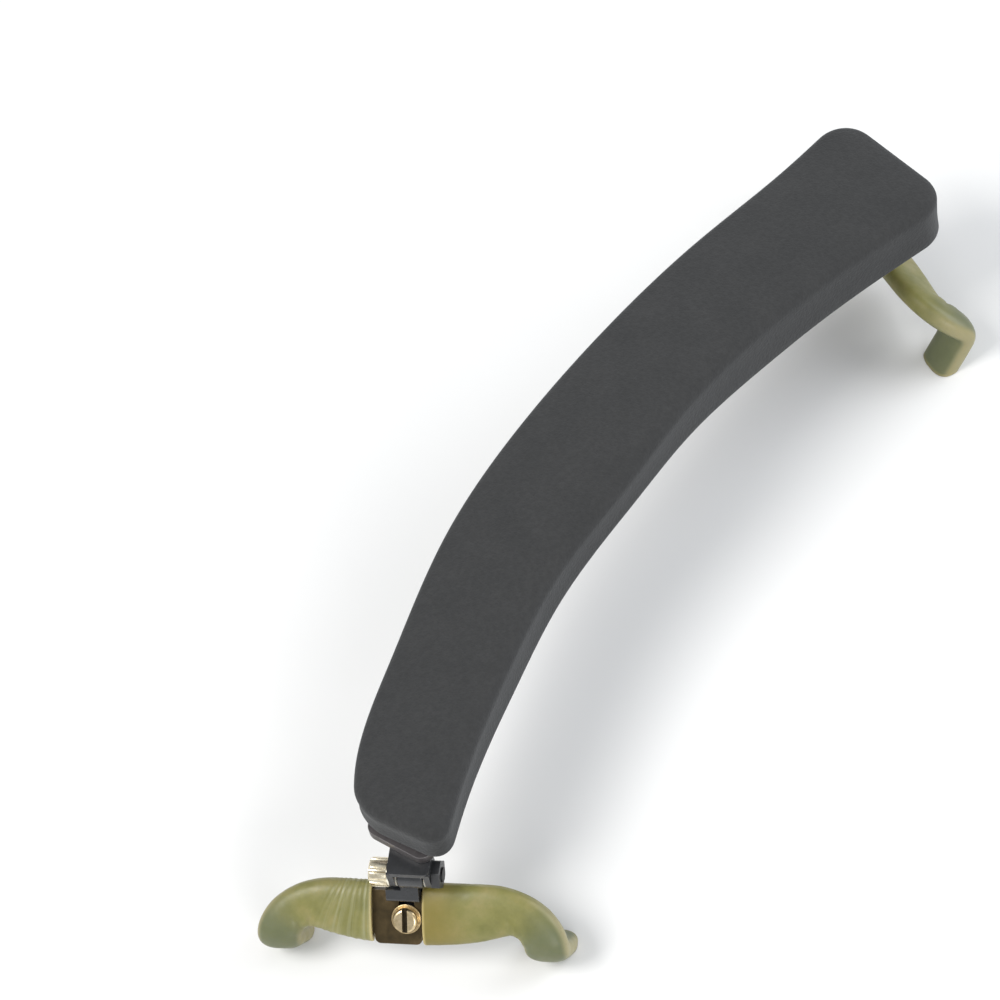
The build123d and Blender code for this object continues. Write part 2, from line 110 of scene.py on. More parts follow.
def fbm(p, scale, seed=0.0, octaves=3):
    """Repeatable noise at a point in mm; scale is the size of its features in mm."""
    v, amp, tot = 0.0, 1.0, 0.0
    q = Vector((p[0] / scale + seed, p[1] / scale - 1.7 * seed, p[2] / scale + 0.37 * seed))
    for _ in range(octaves):
        v += amp * noise.noise(q)
        tot += amp
        amp *= 0.5
        q = q * 2.03
    return v / tot


def mesh_object(name, verts, faces, smooth_faces=True, attrs=None):
    me = bpy.data.meshes.new(name)
    me.from_pydata([tuple(v) for v in verts], [], faces)
    me.validate()
    me.polygons.foreach_set("use_smooth", [smooth_faces] * len(me.polygons))
    for key, values in (attrs or {}).items():
        at = me.attributes.new(key, "FLOAT", "POINT")
        at.data.foreach_set("value", [float(x) for x in values])
    me.update()
    o = bpy.data.objects.new(name, me)
    bpy.context.scene.collection.objects.link(o)
    return o


def outward(o):
    """Turn every face of a closed mesh outwards."""
    bm = bmesh.new()
    bm.from_mesh(o.data)
    bmesh.ops.recalc_face_normals(bm, faces=bm.faces)
    if bm.calc_volume(signed=True) < 0:
        bmesh.ops.reverse_faces(bm, faces=bm.faces)
    bm.to_mesh(o.data)
    bm.free()


# ------------------------------------------------------------------ materials
class Shader:
    """A node material with one Principled shader and short calls for its inputs."""

    def __init__(self, name, **sockets):
        self.mat = bpy.data.materials.new(name)
        self.mat.use_nodes = True
        self.t = self.mat.node_tree
        self.bsdf = self.t.nodes["Principled BSDF"]
        self.coord = self.t.nodes.new("ShaderNodeTexCoord").outputs["Object"]
        for k, v in sockets.items():
            s = self.bsdf.inputs[k.replace("_", " ")]
            s.default_value = (*v, 1.0) if isinstance(v, tuple) and len(v) == 3 and s.type == "RGBA" else v

    def node(self, kind, **props):
        n = self.t.nodes.new(kind)
        for k, v in props.items():
            setattr(n, k, v)
        return n

    def link(self, a, b):
        self.t.links.new(a, b)

    def set(self, socket, value):
        if isinstance(value, bpy.types.NodeSocket):
            self.link(value, socket)
        else:
            socket.default_value = value

    def scaled(self, x, y, z):
        m = self.node("ShaderNodeMapping")
        m.inputs["Scale"].default_value = (x, y, z)
        self.link(self.coord, m.inputs["Vector"])
        return m.outputs["Vector"]

    def noise(self, mm, detail=3.0, rough=0.55, vector=None, distortion=0.0):
        n = self.node("ShaderNodeTexNoise")
        self.link(vector or self.coord, n.inputs["Vector"])
        n.inputs["Scale"].default_value = 1.0 / (mm * MM)
        n.inputs["Detail"].default_value = detail
        n.inputs["Roughness"].default_value = rough
        n.inputs["Distortion"].default_value = distortion
        return n.outputs["Fac"]

    def cells(self, mm, feature="F1", rand=1.0):
        n = self.node("ShaderNodeTexVoronoi", feature=feature)
        self.link(self.coord, n.inputs["Vector"])
        n.inputs["Scale"].default_value = 1.0 / (mm * MM)
        n.inputs["Randomness"].default_value = rand
        return n.outputs["Distance"]

    def wave(self, mm, direction="X", distortion=2.0, detail=2.0, vector=None):
        n = self.node("ShaderNodeTexWave", wave_type="BANDS", bands_direction=direction)
        self.link(vector or self.coord, n.inputs["Vector"])
        n.inputs["Scale"].default_value = 0.314 / (mm * MM)
        n.inputs["Distortion"].default_value = distortion
        n.inputs["Detail"].default_value = detail
        return n.outputs["Fac"]

    def ramp(self, fac, stops):
        n = self.node("ShaderNodeValToRGB")
        e = n.color_ramp.elements
        while len(e) < len(stops):
            e.new(0.5)
        for i, (pos, col) in enumerate(stops):
            e[i].position = pos
            e[i].color = (*col, 1.0) if len(col) == 3 else (col[0],) * 3 + (1.0,)
        self.link(fac, n.inputs["Fac"])
        return n.outputs["Color"]

    def span(self, fac, a, b, lo=0.0, hi=1.0):
        n = self.node("ShaderNodeMapRange")
        self.link(fac, n.inputs["Value"])
        n.inputs["From Min"].default_value, n.inputs["From Max"].default_value = a, b
        n.inputs["To Min"].default_value, n.inputs["To Max"].default_value = lo, hi
        return n.outputs["Result"]

    def mix(self, fac, a, b, blend="MIX"):
        n = self.node("ShaderNodeMix", data_type="RGBA", blend_type=blend)
        self.set(n.inputs["Factor"], fac)
        for s, v in ((n.inputs["A"], a), (n.inputs["B"], b)):
            self.set(s, (*v, 1.0) if isinstance(v, tuple) and len(v) == 3 else v)
        return n.outputs["Result"]

    def math(self, op, a, b=0.0):
        n = self.node("ShaderNodeMath", operation=op)
        self.set(n.inputs[0], a)
        self.set(n.inputs[1], b)
        return n.outputs[0]

    def attribute(self, name):
        return self.node("ShaderNodeAttribute", attribute_name=name).outputs["Fac"]

    def edge(self, width_mm):
        """1 near a convex edge: bright-worn edges on paint and plate, and the painted edge highlight on the bar."""
        g = self.node("ShaderNodeNewGeometry")
        b = self.node("ShaderNodeBevel", samples=6)
        b.inputs["Radius"].default_value = width_mm * MM
        d = self.node("ShaderNodeVectorMath", operation="DOT_PRODUCT")
        self.link(g.outputs["Normal"], d.inputs[0])
        self.link(b.outputs["Normal"], d.inputs[1])
        return self.span(d.outputs["Value"], 0.995, 0.86)

    def color(self, value):
        self.set(self.bsdf.inputs["Base Color"], value)

    def rough(self, value):
        self.set(self.bsdf.inputs["Roughness"], value)

    def bump(self, height, mm, strength=1.0, normal=None):
        n = self.node("ShaderNodeBump")
        n.inputs["Distance"].default_value = mm * MM
        n.inputs["Strength"].default_value = strength
        self.link(height, n.inputs["Height"])
        if normal is not None:
            self.link(normal, n.inputs["Normal"])
        self.link(n.outputs["Normal"], self.bsdf.inputs["Normal"])
        return n.outputs["Normal"]


def foam_material():
    s = Shader("charcoal_foam", Specular_IOR_Level=0.25, Sheen_Weight=0.12, Sheen_Roughness=0.6)
    s.bsdf.inputs["Sheen Tint"].default_value = (0.8, 0.82, 0.85, 1)
    cell = s.cells(0.62)
    fine = s.cells(0.31)
    blot = s.noise(9.0, 3)
    mott = s.noise(1.1, 2)
    base = s.ramp(blot, [(0.3, (0.0255, 0.0260, 0.0262)), (0.7, (0.0320, 0.0323, 0.0324))])
    speck = s.ramp(mott, [(0.35, (0.90, 0.90, 0.90)), (0.68, (1.09, 1.09, 1.09))])
    c = s.mix(1.0, base, speck, "MULTIPLY")
    # painted shade in the foam's pits: darker where the cells dip in
    pit_shade = s.span(cell, 0.16, 0.42)
    c = s.mix(s.span(pit_shade, 0.0, 1.0, 0.30, 0.0), c, (0.022, 0.022, 0.024))
    s.color(c)
    s.rough(s.span(blot, 0.3, 0.7, 0.86, 0.95))
    n1 = s.bump(cell, 0.10, 0.75)
    s.bump(fine, 0.05, 0.6, n1)
    return s.mat


def sleeve_material():
    s = Shader("olive_rubber", Specular_IOR_Level=0.38, Subsurface_Weight=0.22, Subsurface_Scale=0.0018,
               Coat_Weight=0.06, Coat_Roughness=0.25)
    s.bsdf.inputs["Subsurface Radius"].default_value = (1.0, 0.8, 0.3)
    rim, tip, edge, fold, run, mouth, streak = (
        s.attribute(a) for a in ("rim", "tip", "edge", "fold", "run", "mouth", "streak"))
    cloud = s.noise(5.5, 4, 0.6)
    fine = s.noise(0.9, 3)
    olive = s.ramp(cloud, [(0.28, (0.142, 0.140, 0.038)), (0.52, (0.192, 0.184, 0.058)), (0.75, (0.250, 0.220, 0.085))])
    # yellower towards the mouth of the tail-side tube, streaked across at the other one
    c = s.mix(s.math("MULTIPLY", mouth, 0.70), olive, (0.190, 0.144, 0.028))
    lines = s.node("ShaderNodeTexNoise", noise_dimensions="1D")
    s.link(s.math("MULTIPLY", run, 1.1), lines.inputs["W"])
    lines.inputs["Scale"].default_value = 1.0
    lines.inputs["Detail"].default_value = 3.0
    lined = s.math("MULTIPLY", streak, s.span(lines.outputs["Fac"], 0.50, 0.66))
    c = s.mix(s.math("MULTIPLY", lined, 0.60), c, (0.285, 0.285, 0.165))
    # clouded, drier surface where the tube is stretched
    c = s.mix(s.math("MULTIPLY", fold, 0.35), c, (0.29, 0.28, 0.15))
    c = s.mix(s.math("MULTIPLY", tip, 0.72), c, (0.092, 0.112, 0.066))
    # painted glow of light shining through the tube's thin edges, strongest at the claws
    c = s.mix(s.math("MULTIPLY", edge, s.span(tip, 0.0, 1.0, 0.04, 0.60)), c, (0.42, 0.36, 0.19))
    c = s.mix(s.math("MULTIPLY", rim, 0.75), c, (0.58, 0.47, 0.22))
    c = s.mix(s.span(fine, 0.60, 0.80, 0.0, 0.30), c, (0.13, 0.13, 0.04))
    s.color(c)
    s.rough(s.span(s.noise(2.4, 3), 0.3, 0.7, 0.34, 0.52))
    n1 = s.bump(s.noise(1.6, 4, 0.6), 0.07, 0.5)
    s.bump(s.noise(0.25, 2), 0.012, 0.5, n1)
    return s.mat


def enamel_material(name, tint, rough, gloss):
    s = Shader(name, Specular_IOR_Level=0.5, Coat_Weight=gloss, Coat_Roughness=0.18)
    wear = s.edge(0.22)
    chips = s.math("MULTIPLY", wear, s.span(s.noise(0.7, 4, 0.65), 0.52, 0.66))
    base = s.ramp(s.noise(2.5, 3), [(0.3, tint), (0.7, tuple(1.5 * v for v in tint))])
    s.color(s.mix(s.math("MULTIPLY", chips, 0.6), base, (0.20, 0.19, 0.18)))
    s.rough(s.span(s.noise(0.8, 3), 0.3, 0.7, rough - 0.05, rough + 0.10))
    s.bump(s.noise(0.35, 3, 0.5), 0.03, 0.35)
    return s.mat


def brass_material(name, bright, dull, rough):
    s = Shader(name, Metallic=1.0, Specular_IOR_Level=0.5)
    worn = s.noise(1.5, 4, 0.6)
    c = s.ramp(worn, [(0.32, dull), (0.62, bright)])
    dirt = s.span(s.noise(0.55, 4, 0.7), 0.58, 0.74, 0.0, 0.45)
    s.color(s.mix(dirt, c, tuple(0.35 * v for v in dull)))
    s.rough(s.span(worn, 0.3, 0.7, rough + 0.12, rough))
    s.bump(s.noise(0.18, 2), 0.008, 0.5)
    return s.mat


def hinge_screw_material(side):
    """Nickelled head; the shank's end that shows in the nut is painted near-black."""
    s = Shader("nickelled_screw_%s" % ("shoulder" if side > 0 else "chest"), Metallic=1.0, Specular_IOR_Level=0.5)
    worn = s.noise(1.5, 4, 0.6)
    c = s.ramp(worn, [(0.32, (0.66, 0.57, 0.40)), (0.62, (0.96, 0.88, 0.69))])
    c = s.mix(s.span(s.noise(0.55, 4, 0.7), 0.56, 0.72, 0.0, 0.55), c, (0.20, 0.18, 0.13))
    base = fork_point(side, -3.2, 0.0, 23.6)
    along = fork_point(side, -3.2, 1.0, 23.6) - base
    along.normalize()
    d = s.node("ShaderNodeVectorMath", operation="DOT_PRODUCT")
    s.link(s.coord, d.inputs[0])
    d.inputs[1].default_value = along
    t = s.math("SUBTRACT", d.outputs["Value"], base.dot(along))
    # near-black on the shank's end past the nut, from 4.5 to 5.2 mm along
    dark = s.span(t, -0.0045, -0.0052)
    s.color(s.mix(dark, c, (0.018, 0.018, 0.020)))
    s.rough(s.math("ADD", s.span(worn, 0.3, 0.7, 0.32, 0.20), s.math("MULTIPLY", dark, 0.15)))
    s.bump(s.noise(0.18, 2), 0.008, 0.5)
    return s.mat


def fork_screw_material(side):
    """Worn brass, with painted shade in the driver's slot."""
    s = Shader("slotted_brass_%s" % ("shoulder" if side > 0 else "chest"), Metallic=1.0, Specular_IOR_Level=0.5)
    worn = s.noise(1.5, 4, 0.6)
    c = s.ramp(worn, [(0.32, (0.46, 0.36, 0.20)), (0.62, (0.74, 0.60, 0.38))])
    c = s.mix(s.span(s.noise(0.55, 4, 0.7), 0.58, 0.74, 0.0, 0.45), c, (0.14, 0.10, 0.05))
    middle = fork_point(side, 0.0, 0.7, FORK_Z)
    across = (fork_point(side, 0.0, 1.7, FORK_Z) - middle).normalized()
    up = (fork_point(side, K, 0.7, FORK_Z + K) - middle).normalized()
    coords = []
    for axis in (across, up):
        d = s.node("ShaderNodeVectorMath", operation="DOT_PRODUCT")
        s.link(s.coord, d.inputs[0])
        d.inputs[1].default_value = axis
        coords.append(s.math("SUBTRACT", d.outputs["Value"], middle.dot(axis)))
    # painted shade: the driver's slot is darkened and made rougher
    inside = s.span(s.math("ABSOLUTE", coords[0]), 0.00062, 0.00050)
    deep = s.span(coords[1], 0.00315, 0.00285)
    slot_shade = s.math("MULTIPLY", s.math("MULTIPLY", inside, deep), s.span(coords[1], 0.0021, 0.0023))
    s.color(s.mix(s.math("MULTIPLY", slot_shade, 0.95), c, (0.020, 0.016, 0.010)))
    s.rough(s.math("ADD", s.span(worn, 0.3, 0.7, 0.38, 0.26), s.math("MULTIPLY", slot_shade, 0.45)))
    s.bump(s.noise(0.18, 2), 0.008, 0.5)
    return s.mat


def plate_material():
    s = Shader("bronzed_steel", Metallic=0.72, Specular_IOR_Level=0.5)
    grain = s.noise(0.5, 3, 0.5, s.scaled(1.0, 1.0, 0.12))
    blot = s.noise(3.0, 4, 0.6)
    c = s.ramp(blot, [(0.30, (0.038, 0.027, 0.011)), (0.55, (0.066, 0.046, 0.019)), (0.78, (0.105, 0.071, 0.033))])
    wear = s.math("MULTIPLY", s.edge(0.25), s.span(s.noise(0.9, 3), 0.42, 0.62))
    s.color(s.mix(s.math("MULTIPLY", wear, 0.6), c, (0.36, 0.27, 0.16)))
    s.rough(s.span(grain, 0.3, 0.7, 0.40, 0.58))
    s.bump(grain, 0.010, 0.5)
    return s.mat


def bar_material():
    s = Shader("satin_dark_bar", Metallic=0.55, Specular_IOR_Level=0.5)
    grain = s.noise(0.35, 3, 0.6, s.scaled(0.05, 1.0, 1.0))
    c = s.ramp(s.noise(6.0, 3), [(0.3, (0.085, 0.078, 0.080)), (0.7, (0.125, 0.115, 0.117))])
    scuff = s.span(s.noise(0.6, 4, 0.7, s.scaled(0.25, 1.0, 1.0)), 0.60, 0.74, 0.0, 0.5)
    c = s.mix(scuff, c, (0.26, 0.25, 0.25))
    # painted highlight along all the bar's edges
    s.color(s.mix(s.math("MULTIPLY", s.edge(0.3), 0.55), c, (0.42, 0.40, 0.40)))
    s.rough(s.span(grain, 0.3, 0.7, 0.34, 0.50))
    s.bump(grain, 0.012, 0.5)
    return s.mat


def adhesive_material():
    s = Shader("adhesive_foam_tape", Specular_IOR_Level=0.3)
    s.color(s.ramp(s.noise(1.2, 3), [(0.3, (0.020, 0.020, 0.022)), (0.7, (0.036, 0.036, 0.038))]))
    s.rough(s.span(s.noise(2.0, 2), 0.3, 0.7, 0.75, 0.92))
    s.bump(s.cells(0.4), 0.05, 0.5)
    return s.mat


def nylon_material():
    s = Shader("natural_nylon", Specular_IOR_Level=0.5, Subsurface_Weight=0.15, Subsurface_Scale=0.001)
    s.color(s.ramp(s.noise(1.5, 3), [(0.3, (0.24, 0.22, 0.18)), (0.7, (0.33, 0.31, 0.26))]))
    s.rough(s.span(s.noise(0.8, 2), 0.3, 0.7, 0.38, 0.52))
    s.bump(s.noise(0.3, 2), 0.01, 0.4)
    return s.mat


def floor_material():
    s = Shader("pale_floor", Specular_IOR_Level=0.2)
    s.color(s.ramp(s.noise(120.0, 2), [(0.3, (0.76, 0.76, 0.755)), (0.7, (0.79, 0.79, 0.785))]))
    s.rough(0.85)
    return s.mat


MAT = {
    "foam": foam_material(),
    "sleeve": sleeve_material(),
    "black_steel": enamel_material("black_enamel_steel", (0.014, 0.0145, 0.016), 0.36, 0.25),
    "black_cast": enamel_material("black_enamel_casting", (0.015, 0.016, 0.018), 0.30, 0.40),
    "brass": brass_material("turned_brass", (0.68, 0.52, 0.29), (0.40, 0.29, 0.14), 0.28),
    "pale_brass": brass_material("nickelled_brass", (0.90, 0.86, 0.74), (0.66, 0.61, 0.47), 0.20),
    "screw_chest": hinge_screw_material(-1),
    "screw_shoulder": hinge_screw_material(1),
    "fork_screw_chest": fork_screw_material(-1),
    "fork_screw_shoulder": fork_screw_material(1),
    "plate": plate_material(),
    "bar": bar_material(),
    "adhesive": adhesive_material(),
    "nylon": nylon_material(),
    "floor": floor_material(),
}


def dress(node, material, bevel=0.0, segments=2):
    """A carried-over CAD node: its material, and a small modifier that softens its edges."""
    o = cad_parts[node]
    o.data.materials.clear()
    o.data.materials.append(MAT[material])
    if bevel:
        w = o.modifiers.new("merge", "WELD")
        w.merge_threshold = 0.000002
        b = o.modifiers.new("softened_edges", "BEVEL")
        b.width = bevel * MM
        b.segments = segments
        b.limit_method = "ANGLE"
        b.angle_limit = math.radians(38)
        b.harden_normals = False
        b.use_clamp_overlap = True
    return o


# ------------------------------------------------------------------ foam pad
def corner(a, b, lead):
    """Round corner between two trimmed sides: a cubic whose handles follow both."""
    ta = a[-1] - a[-12]
    tb = b[12] - b[0]
    ta, tb = ta / np.linalg.norm(ta), tb / np.linalg.norm(tb)
    k = 0.56 * lead
    p0, p1, p2, p3 = a[-1], a[-1] + ta * k, b[0] - tb * k, b[0]
    t = np.linspace(0, 1, 80)[:, None]
    return (1 - t) ** 3 * p0 + 3 * (1 - t) ** 2 * t * p1 + 3 * (1 - t) * t * t * p2 + t ** 3 * p3


def pad_outline(nu, nv):
    """Plan of the pad, counter-clockwise: tail side, shoulder end, neck side, chest end."""
    tail = spline(PAD_TAIL, 1200)
    neck = spline(PAD_NECK, 1200)[::-1]
    send = np.linspace(tail[-1], neck[0], 400)
    cend = np.linspace(neck[-1], tail[0], 400)
    rc, rs = 5.6, 8.6
    tail, send = trim(tail, rc, rs), trim(send, rs, rs)
    neck, cend = trim(neck, rs, rc), trim(cend, rc, rc)
    c = [corner(tail, send, rs), corner(send, neck, rs), corner(neck, cend, rc), corner(cend, tail, rc)]
    m = 40
    sides = [np.vstack([c[3][m:], tail[1:-1], c[0][:m + 1]]), np.vstack([c[0][m:], send[1:-1], c[1][:m + 1]]),
             np.vstack([c[1][m:], neck[1:-1], c[2][:m + 1]]), np.vstack([c[2][m:], cend[1:-1], c[3][:m + 1]])]
    parts = [even(s, k + 1)[:-1] for s, k in zip(sides, (nu, nv, nu, nv))]
    ring = np.vstack(parts)
    ring += (OX, OY)
    return ring


def hump(x):
    u = max(0.0, 1.0 - abs(x) / 52.0)
    return 4.0 * u * u * (3 - 2 * u)


TOP_LINE = spline([(a, b) for a, b in PAD_TOP], 2000)


def top_z(x):
    return float(np.interp(x, TOP_LINE[:, 0], TOP_LINE[:, 1]))


def inset(ring, d):
    tang = np.roll(ring, -1, 0) - np.roll(ring, 1, 0)
    tang /= np.linalg.norm(tang, axis=1)[:, None]
    inward = np.stack([-tang[:, 1], tang[:, 0]], 1)
    return ring + inward * d


def coons(ring, nu, nv):
    """Grid that fills a closed ring of 2(nu+nv) points."""
    a = ring[:nu + 1]
    b = ring[nu:nu + nv + 1]
    c = ring[nu + nv:2 * nu + nv + 1][::-1]
    d = np.vstack([ring[2 * nu + nv:], ring[:1]])[::-1]
    g = np.zeros((nv + 1, nu + 1, 2))
    for j in range(nv + 1):
        v = j / nv
        for i in range(nu + 1):
            u = i / nu
            g[j, i] = ((1 - v) * a[i] + v * c[i] + (1 - u) * d[j] + u * b[j]
                       - ((1 - u) * (1 - v) * a[0] + u * (1 - v) * a[-1] + (1 - u) * v * c[0] + u * v * c[-1]))
    return g


def make_pad():
    nu, nv = ((250, 42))
    ring = pad_outline(nu, nv)
    n = len(ring)
    r_top, r_low, crown = 2.3, 0.7, 0.55
    rows = []                                     # (inset, height fraction, fixed rise), from below to the top
    for k in range(4):
        a = math.radians(90 * k / 3)
        rows.append((r_low * (1 - math.sin(a)), "low", r_low * (1 - math.cos(a))))
    for k in range(1, 8):
        rows.append((0.0, "side", k / 8))
    for k in range(0, 8):
        a = math.radians(90 * k / 7)
        rows.append((r_top * (1 - math.cos(a)), "top", -r_top * (1 - math.sin(a))))
    verts, faces = [], []

    def z_low(p):
        return ZB + hump(p[0] - OX)

    def z_top(p, d):
        x, y = p
        swell = crown * (1 - math.exp(-max(d - r_top, 0.0) / 5.0)) - 0.25
        soft = 0.13 * fbm((x, y, 0.0), 15.0, 3.1) + 0.035 * fbm((x, y, 0.0), 3.2, 7.7, 2)
        return top_z(x - OX) + swell + soft * smooth(0.0, 5.0, d)

    for d, kind, q in rows:
        line = inset(ring, d)
        for i, p in enumerate(line):
            lo, hi = z_low(p), z_top(ring[i], 0.0)
            if kind == "low":
                z = lo + q
            elif kind == "top":
                z = hi + q
            else:
                z0, z1 = lo + r_low, hi - r_top
                z = z0 + (z1 - z0) * q
            # the cut wall is a little uneven and leans in by a hair at mid height
            if kind == "side":
                w = 0.16 * math.sin(math.pi * q) + 0.10 * fbm((p[0], p[1], z), 6.0, 11.3)
                p = p + (inset(ring[[i - 1, i, (i + 1) % n]], w)[1] - ring[i])
            verts.append((p[0], p[1], z))
    for r in range(len(rows) - 1):
        for i in range(n):
            j = (i + 1) % n
            faces.append((r * n + i, r * n + j, (r + 1) * n + j, (r + 1) * n + i))

    def cap(level, height, flip):
        """Fill inside ring number level with a grid."""
        base = level * n
        edge = np.array([verts[base + i][:2] for i in range(n)])
        g = coons(edge, nu, nv)
        index = {}
        for i in range(nu + 1):
            index[0, i] = base + i
            index[nv, i] = base + (2 * nu + nv - i) % n
        for j in range(nv + 1):
            index[j, nu] = base + nu + j
            index[j, 0] = base + (n - j) % n
        for j in range(1, nv):
            for i in range(1, nu):
                index[j, i] = len(verts)
                p = g[j, i]
                verts.append((p[0], p[1], height(p)))
        for j in range(nv):
            for i in range(nu):
                f = (index[j, i], index[j, i + 1], index[j + 1, i + 1], index[j + 1, i])
                faces.append(f[::-1] if flip else f)

    def depth(p):
        return float(np.min(np.hypot(ring[:, 0] - p[0], ring[:, 1] - p[1])))

    cap(len(rows) - 1, lambda p: z_top(p, depth(p)), False)
    cap(0, z_low, True)
    o = mesh_object("foam_cushion", [Vector(v) * MM for v in verts], faces)
    outward(o)
    o.data.materials.append(MAT["foam"])
    return o


pad = make_pad()
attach(pad, "base")
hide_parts("foam_pad")


# ------------------------------------------------------------------ rubber sleeves
BEND_R, BEND_Q, BEND_END = 3.0, 4.8, 4.8 + 3.0 * math.radians(80.0)
A1 = math.radians(-35.0)
BCX, BCZ = K * (BEND_Q - BEND_R), FORK_Z + K * (-BEND_R - BEND_Q)


def wrap(side, t, q, p):
    """Developed fork (t, q down the band, p off its middle) to the rest's frame."""
    if q <= BEND_Q:
        n, z = K * (q + p), FORK_Z + K * (p - q)
    else:
        a = math.radians(45.0) - min(q, BEND_END) / BEND_R + BEND_Q / BEND_R
        n, z = BCX + (BEND_R + p) * math.cos(a), BCZ + (BEND_R + p) * math.sin(a)
        if q > BEND_END:
            n += math.sin(A1) * (q - BEND_END)
            z -= math.cos(A1) * (q - BEND_END)
    return fork_point(side, n, t, z)


def q_end(p):
    """Where the cut end meets the standing plane."""
    return BEND_END + (BCZ + (BEND_R + p) * math.sin(A1)) / math.cos(A1)


Q1 = q_end(0.0)


def edges_of_tube(start, grow):
    """Upper/outer and lower/inner edges of the tube, developed; grow is measured from the plate's edge."""
    out, inn, top, ri = 30.8 + grow, 24.9 - grow, -(4.1 + grow), 2.5
    ct, cs = 15.8, 7.6
    a = np.radians(np.linspace(0, 90, 60))
    shoulder = np.stack([ct + (out - ct) * np.sin(a), cs + (top - cs) * np.cos(a)], 1)
    o = [np.linspace((start, top), (ct, top), 60), shoulder, np.linspace((out, cs), (out, Q1), 60)]

    def low(t):
        return 5.5 + grow - 2.6 * (t / 20) ** 2

    ts = np.linspace(start, inn - ri, 60)
    y0 = low(inn - ri)
    elbow = np.stack([inn - ri + ri * np.sin(a), y0 + ri - ri * np.cos(a)], 1)
    i = [np.stack([ts, low(ts)], 1), elbow, np.linspace((inn, y0 + ri), (inn, Q1), 60)]
    return o, i


def make_sleeve(name, side, sign, start, grown, seed):
    """Length of rubber tube pushed over one arm: round wall, stretched flat by the plate inside."""
    m, around = ((130, 72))
    seg = [int(m * 0.42), int(m * 0.26), m - int(m * 0.42) - int(m * 0.26)]
    half_t, wall = 2.8, 1.8
    oe, ie = edges_of_tube(start, wall)
    og, ig = edges_of_tube(start, 0.34)
    stations = []
    for k in range(3):
        a, b = even(oe[k], seg[k] + 1), even(ie[k], seg[k] + 1)
        c, d = even(og[k], seg[k] + 1), even(ig[k], seg[k] + 1)
        for j in range(seg[k] + (1 if k == 2 else 0)):
            stations.append((a[j], b[j], c[j], d[j], k, j / seg[k]))
    total = len(stations)
    length = [0.0]
    for a, b in zip(stations[:-1], stations[1:]):
        length.append(length[-1] + float(np.linalg.norm((a[0] + a[1] - b[0] - b[1]) / 2)))
    full = length[-1]
    verts, faces = [], []
    at = {"rim": [], "tip": [], "edge": [], "fold": [], "run": [], "mouth": [], "streak": []}

    def ring(k, shrink, inner, extra=0.0):
        """One ring at station k; shrink pulls the wall in for rounded rims."""
        a, b, c, d, part, f = stations[k]
        here = length[k]
        o_, i_ = (c, d) if inner else (a, b)
        mid, arm = (o_ + i_) / 2, (o_ - i_) / 2
        w = float(np.linalg.norm(arm))
        dirn = arm / w
        for j in range(around):
            th = 2 * math.pi * j / around
            cx, sx = math.cos(th), math.sin(th)
            if inner:
                e = 2 / 6.0
                x = (w + shrink) * math.copysign(abs(cx) ** e, cx)
                p = (1.10 + shrink) * math.copysign(abs(sx) ** e, sx)
            else:
                e = 2 / 2.55
                x = (w - shrink) * math.copysign(abs(cx) ** e, cx)
                p = (half_t - shrink) * math.copysign(abs(sx) ** e, sx)
            fold = 0.0
            if not inner:
                u = x / w
                # bunched ribs where the tube's mouth was pushed along the arm
                if grown:
                    ribs = smooth(0.2, 1.6, here) * (1 - smooth(7.5, 13.0, here))
                    ph = here / 1.35 + 0.32 * u + 0.55 * fbm((here, 3.0 * u, seed), 3.0, seed)
                    fold += ribs * (0.5 + 0.5 * math.cos(2 * math.pi * ph)) ** 1.5 * (0.55 + 0.45 * fbm((u * 3, here, 0), 2.2, seed + 5))
                    fold = max(fold, 0.0)
                # creases fan out from the inside of the elbow
                inside = smooth(-0.25, 0.9, -u)
                if part == 1:
                    crease = (0.5 - 0.5 * math.cos(2 * math.pi * 3.0 * f)) ** 2 * inside
                    p -= math.copysign(0.30 * crease, sx) * abs(sx)
                lump = 0.10 * fbm((here, x, p * 1.2 + seed), 7.0, seed) + 0.035 * fbm((here, x, p), 2.0, seed + 2.0)
                grow = lump + 0.14 * fold - 0.10
                rr = math.hypot(x, p * 2.2) or 1.0
                x += grow * x / rr
                p += grow * (p * 2.2) / rr
            q = mid + dirn * x
            tt, qq = float(q[0]), float(q[1])
            if part == 2:
                last = q_end(p)
                qq = qq + (last - Q1) * f ** 1.5
            if extra:
                qq -= extra
            verts.append(wrap(side, sign * tt, qq, p))
            at["rim"].append(max(1 - here / 0.55, 0.0) if not inner else 0.9)
            at["rim"][-1] = max(at["rim"][-1], 0.55 * max(1 - (full - here) / 0.9, 0.0))
            at["tip"].append(smooth(full - 20.0, full - 12.0, here) if not inner else 0.3)
            # edge: mask for the painted glow of light through the tube's thin edges
            at["edge"].append(smooth(0.72, 1.0, abs(x) / w))
            at["fold"].append(fold)
            at["run"].append(here)
            at["mouth"].append(smooth(11.0, 1.5, here) if sign < 0 and not inner else 0.0)
            at["streak"].append(smooth(14.0, 3.0, here) if sign > 0 and not inner else 0.0)
        return len(verts) - around

    rings = []
    r = 0.42
    rings.append(ring(0, r, False))
    rings.append(ring(0, 0.12, False))
    for k in range(1, total - 1):
        rings.append(ring(k, 0.0, False))
    rings.append(ring(total - 1, 0.0, False, 0.30))
    rings.append(ring(total - 1, 0.12, False, 0.08))
    rings.append(ring(total - 1, r, False))
    # the bore, back from the far mouth to the near one
    rings.append(ring(total - 1, 0.22, True))
    rings.append(ring(total - 1, 0.0, True, 0.35))
    for k in range(total - 2, 0, -1):
        rings.append(ring(k, 0.0, True))
    rings.append(ring(0, 0.18, True))
    for a, b in zip(rings, rings[1:] + rings[:1]):
        for j in range(around):
            j2 = (j + 1) % around
            faces.append((a + j, a + j2, b + j2, b + j))
    o = mesh_object(name, verts, faces, True, at)
    outward(o)
    o.data.materials.append(MAT["sleeve"])
    return o


